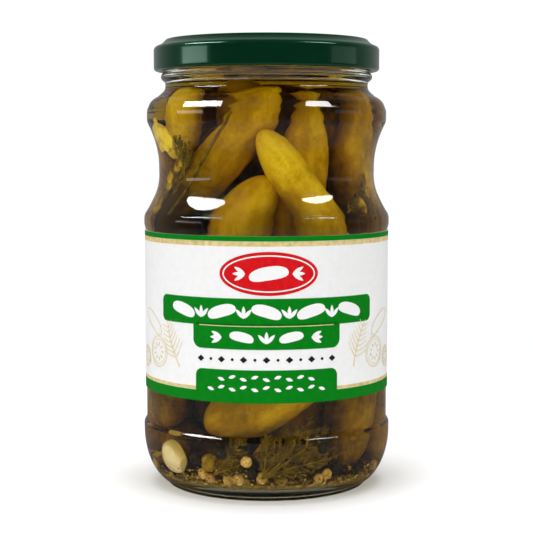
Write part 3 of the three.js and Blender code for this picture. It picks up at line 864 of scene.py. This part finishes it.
def shard_part(middle, long, wide, lean, tone, seed):
    """A torn flake of pickle that lies along the wall, pale where its flesh shows."""
    tilt = math.radians(lean)

    def shape(unit):
        ragged = 1 + 0.25 * noise.noise(Vector((unit.x * 2.3 + seed * 9, unit.y * 2.3, 0)))
        run = unit.x * ragged * long / 2
        rise = unit.y * ragged * wide / 2
        thick = 1.3 * unit.z + 0.6 * noise.noise(Vector((run * 0.4, rise * 0.4, seed * 5)))
        azimuth, radius, height = wall_point(middle, *swung(run, rise, tilt), 0)
        return place(azimuth, min(radius, inner_radius(height) - 1.6) + thick, height)

    points, faces = ball(36, 24, shape)
    tones = [tone + 0.5 * noise.noise(point * 0.35) for point in points]
    return points, faces, tones


def make_pickles():
    """The gherkins in front, the ones round the back, and the torn and sunk ones."""
    front = [pickle_part(*pickle, i + 1, 60, 96) for i, pickle in enumerate(FRONT_PICKLES)]
    back = []
    for number, pickle in enumerate(hidden_pickles()):
        tint = 0.42 + 0.3 * ((number * 7) % 5) / 4
        back.append(pickle_part(*pickle, (tint - 0.08, tint + 0.08), number + 31, 40, 60))
    bits = [shard_part(*shard, number) for number, shard in enumerate(SHARDS)]
    bits += [pickle_part(*pickle, i + 61, 40, 60) for i, pickle in enumerate(SUNK_PICKLES)]
    for name, parts, nodes in (
        ("pickles_front", front, ["pickles"]),
        ("pickles_back", back, ["pickles"]),
        ("pickle_bits", bits, []),
    ):
        heap = joined(name, [part[:2] for part in parts], PICKLE)
        tones = heap.data.attributes.new("tone", "FLOAT", "POINT")
        tones.data.foreach_set("value", np.concatenate([part[2] for part in parts]))
        finish_piece(heap, "pickle_skin", *nodes)


# Spices, sediment and garlic


def ball(sides, rings, shape):
    """Points and faces of a closed ball, each point moved by shape(unit vector)."""
    points = [shape(Vector((0, 0, -1)))]
    for i in range(1, rings):
        flat = math.sin(math.pi * i / rings)
        up = -math.cos(math.pi * i / rings)
        for j in range(sides):
            turn = 2 * math.pi * j / sides
            points.append(shape(Vector((flat * math.cos(turn), flat * math.sin(turn), up))))
    points.append(shape(Vector((0, 0, 1))))
    faces = quads(1, rings - 1, sides)
    top = len(points) - 1
    last = top - sides
    for j in range(sides):
        k = (j + 1) % sides
        faces.append((0, 1 + k, 1 + j))
        faces.append((last + j, last + k, top))
    return points, faces


def tumbled(least, most, rng):
    """A turn about Z by chance, after a tilt about X by so many radians."""
    spin = Matrix.Rotation(rng.uniform(0, 6.3), 3, "Z")
    return spin @ Matrix.Rotation(rng.uniform(least, most), 3, "X")


def seed_part(azimuth, radius, height, width, kind, rng):
    """A ribbed coriander seed, a rough peppercorn or a wrinkled berry."""
    middle = place(azimuth, radius, height)
    turn = tumbled(0.2, 1.4, rng)
    shift = rng.uniform(0, 90)

    def shape(unit):
        if kind == "coriander":
            ribs = 0.035 * math.cos(10 * math.atan2(unit.y, unit.x)) * (1 - unit.z**2)
            size = 1 + ribs + 0.06 * max(0, abs(unit.z) - 0.93) / 0.07
        else:
            depth, scale = (0.16, 2.6) if kind == "pepper" else (0.3, 1.7)
            size = 1 - depth * abs(noise.noise(unit * scale + Vector((shift, 0, 0))))
        return middle + turn @ (unit * (size * width / 2))

    return ball(40, 24, shape)


def scattered_seeds(rng):
    """The seeds of the bed from one side round the back to the other."""
    seeds = []
    for i in range(SCATTERED_SEEDS):
        azimuth = 52 + 256 / SCATTERED_SEEDS * (i + 0.6 * rng.random())
        radius = 35.6 - 3 * rng.random()
        height = 8.5 + 0.6 * rng.random()
        width = 3.4 + 1.4 * rng.random()
        seeds.append((azimuth, radius, height, width, "coriander" if i % 3 else "pepper"))
    return seeds


def inner_radius(height):
    """How far the inside of the wall is from the axis at a height."""
    radii, heights = zip(*glass_inside()[-5::-1])
    return float(np.interp(height, heights, radii))


def make_spices():
    rng = random.Random(11)
    seeds = [*FRONT_SEEDS, *CAUGHT_SEEDS, *scattered_seeds(rng)]
    for kind, name, look in (
        ("pepper", "peppercorns", PEPPER),
        ("coriander", "coriander_seeds", CORIANDER),
        ("berry", "wrinkled_berry", BERRY),
    ):
        parts = [seed_part(*seed, rng) for seed in seeds if seed[4] == kind]
        finish_piece(joined(name, parts, look), "spice_mix")


def make_sediment():
    """The bed of ground spice on the floor, with loose flecks and shreds lying on it."""
    rng = random.Random(23)
    outline = [
        (0, FLOOR_HEIGHT + 0.1),
        (15, FLOOR_HEIGHT - 0.3),
        (26, 5.05),
        (30, 4.75),
        (33, 5.1),
        (34.6, 5.7),
        (35.4, 6.3),
        (35.5, 6.8),
        (34.8, 7.1),
        *[(34 - 2 * i, 7.15) for i in range(16)],
        (0, 7.15),
    ]
    bed = turned("sediment", outline, SEDIMENT)
    for vertex in bed.data.vertices:
        spot = vertex.co / MM
        if spot.z > 6.7:
            radius = math.hypot(spot.x, spot.y)
            rise = 0.5 * noise.noise(spot * 0.45) + 0.5 * noise.noise(spot * 1.3)
            room = min(1, max(0, (36.2 - radius) / 1.5))
            vertex.co.z += rise * room * MM
    finish_piece(bed, "spice_mix", "spices")
    flecks = []
    for _ in range(FLECKS):
        azimuth = rng.uniform(-180, 180)
        if rng.random() < 0.6:
            azimuth = rng.uniform(-70, 70)
        height = 6.4 + rng.random() ** 2 * 5.5
        radius = min(inner_radius(height) - 0.7, rng.uniform(30, 39))
        middle = place(azimuth, radius, height if radius > 35 else 7.5)
        size = rng.uniform(0.25, 0.75)
        turn = tumbled(0, 3.1, rng)
        form = turn @ Matrix.Diagonal((size, size * 0.7, size * rng.uniform(0.25, 0.6)))
        flecks.append(ball(6, 4, lambda unit: middle + form @ unit))
    finish_piece(joined("spice_flecks", flecks, CRUMBS), "spice_mix")


def make_garlic():
    """A clove with a broad root, a flat back and a pointed tip."""
    start = place(*CLOVE_ROOT)
    end = place(*CLOVE_TIP)
    along, across, out, _ = axes_along(start, end)

    def shape(unit):
        part = (unit.z + 1) / 2
        fullness = 1 - 0.45 * part
        corner = math.atan2(unit.y, unit.x)
        facets = 1 + 0.1 * math.cos(3 * corner + 0.6) + 0.012 * math.cos(11 * corner)
        backing = 0.7 if unit.y < 0 else 1
        point = start.lerp(end, min(part, 0.86))
        point = point + across * (CLOVE_WIDTH / 2 * 1.25 * fullness * facets * unit.x)
        point = point + out * (CLOVE_DEPTH / 2 * 1.25 * fullness * backing * facets * unit.y)
        return point + out * (0.25 * noise.noise(point * 0.35))

    clove = joined("garlic_clove", [ball(72, 48, shape)], GARLIC)
    finish_piece(clove, "garlic_skin", "garlic")


# Dill


def wall_point(point, run, rise, dip):
    """A place moved along the wall: so many millimetres round it, up it and in from it."""
    azimuth, radius, height = point
    height = height + rise
    radius = min(radius - dip, inner_radius(height) - 0.45)
    return azimuth + math.degrees(run / radius), radius, height


def strand(foot, angle, bend, length, dip, thick, steps, rng):
    """The places along one thin stem that starts at an angle and bends as it goes."""
    points = [foot]
    step = length / steps
    for _ in range(steps):
        points.append(wall_point(points[-1], *swung(step, 0, angle), dip / steps))
        angle += bend / steps + rng.uniform(-0.06, 0.06)
    radii = [thick * (1 - 0.55 * i / steps) for i in range(steps + 1)]
    return points, radii


def frond_parts(foot, tip, reach, rng):
    """A midrib spread on the wall, leaflets on both sides of it, and hairs on each leaflet."""
    run = math.radians(tip[0] - foot[0]) * foot[1]
    rise = tip[2] - foot[2]
    length = math.hypot(run, rise)
    bend = rng.uniform(-0.3, 0.3)
    lean = math.atan2(rise, run) - bend / 2
    midrib = strand(foot, lean, bend, length, rng.uniform(-0.3, 1.2), MIDRIB_RADIUS, 16, rng)
    leaflets = []
    for i in range(2, 16, 2):
        part = i / 16
        for side in (-1, 1):
            fullness = 0.3 + 0.7 * math.sin(math.pi * min(1, part + 0.08))
            long = reach * fullness * rng.uniform(0.75, 1.15)
            angle = lean + bend * part + side * rng.uniform(0.55, 0.95)
            dip = rng.uniform(-0.8, 1.4)
            leaflet = strand(midrib[0][i], angle, -side * 0.35, long, dip, LEAFLET_RADIUS, 6, rng)
            leaflets.append((leaflet, angle, long))
    hairs = []
    for (spots, _), angle, long in leaflets:
        for i in range(1, 6):
            for side in (-1, 1):
                short = long * (0.42 - 0.045 * i) * rng.uniform(0.7, 1.2)
                slant = angle + side * rng.uniform(0.4, 0.8)
                dip = rng.uniform(-0.6, 0.6)
                hairs.append(strand(spots[i], slant, -side * 0.2, short, dip, HAIR_RADIUS, 3, rng))
    parts = []
    for strands, sides in (([midrib], 6), ([leaflet for leaflet, _, _ in leaflets], 4), (hairs, 3)):
        parts += [tube([place(*spot) for spot in spots], radii, sides) for spots, radii in strands]
    return parts


def make_dill():
    rng = random.Random(5)
    for name, (foot, midribs) in (("dill_left", LEFT_DILL), ("dill_right", RIGHT_DILL)):
        parts = []
        for tip, reach in midribs:
            parts += frond_parts(foot, tip, reach, rng)
        finish_piece(joined(name + "_sprig", parts, DILL), "dill_leaf", name)
    parts = []
    for foot, tip, reach in TUFTS:
        parts += frond_parts(foot, tip, reach, rng)
    stalk = [place(*spot) for spot in STALK]
    parts.append(tube(stalk, STALK_RADII, 8))
    finish_piece(joined("dill_bits", parts, DILL), "dill_leaf")


# Label


def rounded(centre, left, bottom, right, top, low_corner, high_corner):
    """An upright rectangle with rounded corners, as points on the unrolled label."""
    left += centre
    right += centre
    points = []
    for across, up, corner, start in (
        (right - low_corner, bottom + low_corner, low_corner, -90),
        (right - high_corner, top - high_corner, high_corner, 0),
        (left + high_corner, top - high_corner, high_corner, 90),
        (left + low_corner, bottom + low_corner, low_corner, 180),
    ):
        for i in range(9 if corner else 1):
            angle = math.radians(start + 90 * i / 8)
            points.append((across + corner * math.cos(angle), up + corner * math.sin(angle)))
    return points


def moved(points, across, up, turn):
    """Points turned by degrees about the origin and then moved to a place on the label."""
    tilt = math.radians(turn)
    steps = [swung(x, y, tilt) for x, y in points]
    return [(across + x, up + y) for x, y in steps]


def oval(across, up, wide, high, turn=0, steps=48):
    """An oval about a point, turned by degrees."""
    points = []
    for i in range(steps):
        angle = 2 * math.pi * i / steps
        points.append((wide * math.cos(angle), high * math.sin(angle)))
    return moved(points, across, up, turn)


def gherkin(across, up, long, thick, turn, bend=0.14):
    """The outline of a small bent gherkin about a point."""
    points = []
    for i in range(40):
        angle = 2 * math.pi * i / 40
        x = math.copysign(abs(math.cos(angle)) ** 0.75, math.cos(angle)) * long / 2
        y = math.copysign(abs(math.sin(angle)) ** 0.85, math.sin(angle)) * thick / 2
        points.append((x, y + bend * long * (0.25 - (x / long) ** 2)))
    return moved(points, across, up, turn)


def leaf(across, up, long, thick, turn):
    """The outline of a pointed leaf from its foot."""
    points = []
    for i in range(24):
        part = i / 12 if i <= 12 else (24 - i) / 12
        side = 1 if i <= 12 else -1
        y = side * thick / 2 * math.sin(math.pi * part) ** 0.8 if 0 < part < 1 else 0
        points.append((long * part, y))
    return moved(points, across, up, turn)


def fan(across, up, long, thick, turn, spread):
    """Three leaves from one foot."""
    return [leaf(across, up, long, thick, turn + spread * i) for i in (-1, 0, 1)]


def stroke(path, width):
    """A line of print along points, tapered to its end."""
    left = []
    right = []
    for i, (x, y) in enumerate(path):
        run = heading(path[max(i - 1, 0)], path[min(i + 1, len(path) - 1)])
        half = width / 2 * (1 - 0.55 * i / (len(path) - 1))
        left.append((x - run.y * half, y + run.x * half))
        right.append((x + run.y * half, y - run.x * half))
    return right + left[::-1]


def ring_line(outline, width):
    """A closed outline drawn as a line: the outline, and the hole inside it."""
    hole = []
    for i, (x, y) in enumerate(outline):
        run = heading(outline[i - 1], outline[(i + 1) % len(outline)])
        hole.append((x - run.y * width, y + run.x * width))
    return [outline, hole]


def ink_radius(layer):
    """How far from the axis a layer of ink starts."""
    return LABEL_RADIUS + INK * (layer - 1) + INK_GAP


def printed(name, shapes, layer, material):
    """Fields of print as thin closed patches, bent round the label. A shape is an outline, or
    an outline with the holes in it, in millimetres round and up the unrolled label."""
    bm = bmesh.new()
    for shape in shapes:
        loops = shape if isinstance(shape[0], list) else [shape]
        flat = [[Vector((x, y, 0)) for x, y in loop] for loop in loops]
        corners = [bm.verts.new(point) for loop in flat for point in loop]
        for triangle in geometry.tessellate_polygon(flat):
            face = bm.faces.new([corners[i] for i in triangle])
            face.normal_update()
            if face.normal.z < 0:
                face.normal_flip()
    bmesh.ops.delete(bm, geom=[v for v in bm.verts if not v.link_faces], context="VERTS")
    low = min(v.co.x for v in bm.verts)
    high = max(v.co.x for v in bm.verts)
    for cut in np.arange(math.ceil(low / PRINT_STEP) * PRINT_STEP, high, PRINT_STEP):
        whole = [*bm.verts, *bm.edges, *bm.faces]
        bmesh.ops.bisect_plane(bm, geom=whole, dist=1e-5, plane_co=(cut, 0, 0), plane_no=(1, 0, 0))
    bm.normal_update()
    made = bmesh.ops.extrude_face_region(bm, geom=list(bm.faces))
    for item in made["geom"]:
        if isinstance(item, bmesh.types.BMVert):
            item.co.z = INK
    bmesh.ops.recalc_face_normals(bm, faces=bm.faces)
    for vertex in bm.verts:
        round_label, up, out = vertex.co
        azimuth = math.degrees(round_label / LABEL_RADIUS)
        vertex.co = place(azimuth, ink_radius(layer) + out, up) * MM
    mesh = bpy.data.meshes.new(name)
    bm.to_mesh(mesh)
    bm.free()
    mesh.materials.append(material)
    mesh.polygons.foreach_set("use_smooth", [True] * len(mesh.polygons))
    finish_piece(sharpen(add_object(name, mesh)), "label_paper")


def band(name, bottom, top, layer, material):
    """A band of print right round the label."""
    inner = ink_radius(layer)
    outline = [(inner, bottom), (inner + INK, bottom), (inner + INK, top), (inner, top)]
    finish_piece(sharpen(turned(name, outline, material)), "label_paper")


def sprig_strokes(across, up, long, turn, pairs, width):
    """Print of a dill sprig: a stem with pairs of fine leaflets."""
    stem = [(long * i / 6, 0.06 * long * math.sin(i / 2)) for i in range(7)]
    strokes = [stroke(moved(stem, across, up, turn), width)]
    for i in range(pairs):
        start = long * (0.2 + 0.75 * i / pairs)
        rise = 0.06 * long * math.sin(3 * start / long)
        for side in (-1, 1):
            reach = long * 0.3 * (1 - 0.6 * i / pairs)
            path = []
            for k in range(4):
                path.append((start + reach * 0.8 * k / 3, rise + side * reach * (k / 3) ** 0.8))
            strokes.append(stroke(moved(path, across, up, turn), width * 0.8))
    return strokes


def slice_lines(across, up, size):
    """Print of a cut slice of gherkin: its rim, a second line inside it, and its seeds."""
    shapes = [
        ring_line(oval(across, up, size, size * 0.92), 0.34),
        ring_line(oval(across, up, size * 0.82, size * 0.75), 0.22),
    ]
    for i in range(9):
        angle = 2 * math.pi * i / 9
        x = across + size * 0.45 * math.cos(angle)
        y = up + size * 0.42 * math.sin(angle)
        shapes.append(oval(x, y, size * 0.13, size * 0.06, math.degrees(angle), 14))
    return shapes


def make_label():
    """The paper, its bands, and the same front printed twice, half a turn apart."""
    paper = [
        (LABEL_RADIUS - LABEL_PAPER, LABEL_BOTTOM),
        (LABEL_RADIUS, LABEL_BOTTOM),
        (LABEL_RADIUS, LABEL_TOP),
        (LABEL_RADIUS - LABEL_PAPER, LABEL_TOP),
    ]
    finish_piece(sharpen(turned("label_paper", paper, PAPER)), "label_paper", "label")
    band("label_top_gold", *TOP_GOLD, 1, GOLD)
    band("label_bottom_gold", *BOTTOM_GOLD, 1, GOLD)
    band("label_top_band", *TOP_BAND, 2, GREEN)
    band("label_bottom_band", *BOTTOM_BAND, 2, GREEN)
    greens = []
    whites = []
    golds = []
    blacks = []
    reds = []
    for centre in (0, math.pi * LABEL_RADIUS):
        greens += [rounded(centre, *field) for field in (BANNER, TAB, FOOT_TAB)]
        whites += front_motifs(centre)
        golds += front_line_art(centre)
        blacks += front_ornaments(centre)
        reds.append(oval(centre + BADGE[0], *BADGE[1:], 0, 72))
        golds.append(rounded(centre, *GOLD_RULE))
    printed("label_green_fields", greens, 3, GREEN)
    printed("label_red_badges", reds, 3, RED)
    printed("label_gold_art", golds, 4, PALE_GOLD)
    printed("label_white_motifs", whites, 4, WHITE)
    printed("label_black_ornaments", blacks, 3, BLACK)


def front_motifs(centre):
    """White gherkins and leaves on the banner and the tab, leaves on the lower tab, and the line,
    gherkin and leaves of the badge."""
    shapes = []
    for i in range(5):
        across = centre - 31 + 15.5 * i
        shapes.append(gherkin(across, 66.5, 10.5, 4.1, 16 if i % 2 else -16))
    for i in range(4):
        across = centre - 23.25 + 15.5 * i
        shapes += fan(across, 64.4, 4.2, 1.3, 90, 40)
    for side in (-1, 1):
        shapes.append(gherkin(centre + side * 8.5, 57.9, 8.5, 3.3, side * 12))
        shapes += fan(centre + side * 15.5, 57.9, 4.2, 1.4, 90 - side * 90, 28)
    shapes += fan(centre, 55.9, 4.2, 1.3, 90, 42)
    for row, count in ((44.1, 9), (40.6, 11)):
        for i in range(count):
            across = centre + (i - (count - 1) / 2) * 3.9
            shapes.append(leaf(across - 1.3, row, 2.6, 1.15, 18 if i % 2 else -18))
    across, up, wide, high = BADGE
    shapes.append(ring_line(oval(centre + across, up, wide - 1.1, high - 1.1, 0, 72), 0.45))
    shapes.append(gherkin(centre + across, up - 0.3, 13.5, 4.6, 9))
    for side in (-1, 1):
        shapes += fan(centre + across + side * 8.0, up, 4.4, 1.3, 90 - side * 90, 32)
    return shapes


def front_line_art(centre):
    """Fine gold sprigs, slices and gherkins at both sides of the fields."""
    shapes = []
    for side in (-1, 1):
        shapes += sprig_strokes(centre + side * 33, 46.5, 17, 90 - side * 22, 7, 0.5)
        shapes += slice_lines(centre + side * 45.5, 50.5, 6.0)
        shapes.append(ring_line(gherkin(centre + side * 50, 60.5, 15, 5.2, side * 28), 0.34))
        shapes += slice_lines(centre + side * 57.0, 47.5, 4.2)
    return shapes


def front_ornaments(centre):
    """A row of small lozenges and dots between the two tabs."""
    shapes = []
    for i in range(-6, 7):
        if i % 2:
            shapes.append(oval(centre + i * 3.9, 50.4, 0.5, 0.5, 0, 16))
        else:
            shapes.append(oval(centre + i * 3.9, 50.4, 1.3, 1.1, 0, 4))
    return shapes


# Floor, lamps, world and camera


def make_floor():
    """A pale round of floor as bright as the white surroundings that it lies in, painted dark grey
    where gloss mirrors it: a painted shade in its reflections.
    """
    turns = np.arange(128) * 2 * math.pi / 128
    points = [(FLOOR_REACH * math.cos(a), FLOOR_REACH * math.sin(a), FLOOR_LEVEL) for a in turns]
    look = Look("floor", Roughness=0.8, Specular_IOR_Level=0.0)
    mirrored = look.mirrored(look.node("LightPath"))
    # Painted shade: rays that gloss throws back see the floor dark grey, not its own pale colour.
    look.colour(look.ramp(mirrored, (0.0, (0.92, 0.92, 0.918)), (1.0, (0.14, 0.14, 0.14))))
    make_object("floor", points, [tuple(range(128))], look.material)


def lamp(name, azimuth, elevation, distance, wide, high, radiance, shape="RECTANGLE", roll=0.0):
    """A soft box seen from the jar at an azimuth and elevation, in degrees, at a distance and of a
    size in metres. Its radiance is even, and roll turns it about the line to the jar."""
    data = bpy.data.lights.new(name, "AREA")
    data.shape = shape
    data.size = wide
    data.size_y = high
    data.energy = radiance * math.pi * wide * high * (math.pi / 4 if shape == "ELLIPSE" else 1)
    made = add_object(name, data)
    lift = math.radians(elevation)
    aim = place(azimuth, math.cos(lift), math.sin(lift))
    made.location = Vector((0, 0, 0.1)) + aim * distance
    made.rotation_mode = "QUATERNION"
    made.rotation_quaternion = aim.to_track_quat("Z", "Y") @ Quaternion((0, 0, 1), math.radians(roll))
    return made


def make_lamps():
    """Lamps that only show as highlights in the gloss, and lamps that only light."""
    mirrored = [
        lamp("left_softbox", -74, 38.8, 0.95, 0.66, 0.12, 22, "ELLIPSE", 20),
        lamp("right_softbox", 61, 39.2, 0.95, 0.52, 0.075, 18, "ELLIPSE", -18),
        lamp("left_strip", -76, 5.5, 1.0, 0.56, 0.07, 3.0),
        lamp("right_strip", 83, 5.5, 1.0, 0.60, 0.07, 0.5),
    ]
    for made in mirrored:
        made.visible_diffuse = False
    soft = [
        lamp("top_softbox", 180, 89, 1.0, 0.4, 0.4, 14.5),
        lamp("left_fill", -42, 40, 1.1, 0.7, 0.7, 2.7),
        lamp("right_fill", 45, 40, 1.1, 0.7, 0.7, 1.3),
    ]
    for made in soft:
        made.visible_glossy = False


def make_world():
    """Even white to the eye and through glass, dimmer where gloss mirrors the room in front."""
    world = bpy.data.worlds.new("studio")
    bpy.context.scene.world = world
    world.use_nodes = True
    nodes = Nodes(world.node_tree)
    rays = nodes.node("LightPath")
    spot = nodes.node("TexCoord")
    parts = nodes.node("SeparateXYZ", {"Vector": spot.outputs["Generated"]})
    depth = nodes.spread(parts.outputs["Y"], -0.1, 0.9, MIRRORED_FRONT, MIRRORED_BEHIND)
    direct = nodes.spread(rays.outputs["Is Diffuse Ray"], 0, 1, BACKDROP, SURROUND)
    choice = nodes.node("Mix", {"Factor": nodes.mirrored(rays), "A": direct, "B": depth})
    background = nodes.tree.nodes["Background"]
    nodes.feed(background.inputs["Color"], (1, 1, 1, 1))
    nodes.feed(background.inputs["Strength"], choice.outputs["Result"])


def make_camera():
    data = bpy.data.cameras.new("camera")
    data.sensor_width = SENSOR
    data.lens = SENSOR * FOCAL_PIXELS / FRAME_PIXELS
    data.clip_start = 0.01
    data.clip_end = 20
    camera = add_object("camera", data)
    camera.location = Vector(EYE) * MM
    camera.rotation_euler = (math.radians(90 - PITCH), 0, 0)
    bpy.context.scene.camera = camera


make_camera()
make_floor()
make_lamps()
make_world()
make_jar()
make_brine()
make_lid()
make_pickles()
make_spices()
make_sediment()
make_garlic()
make_dill()
make_label()
bpy.context.scene.view_settings.view_transform = "Standard"
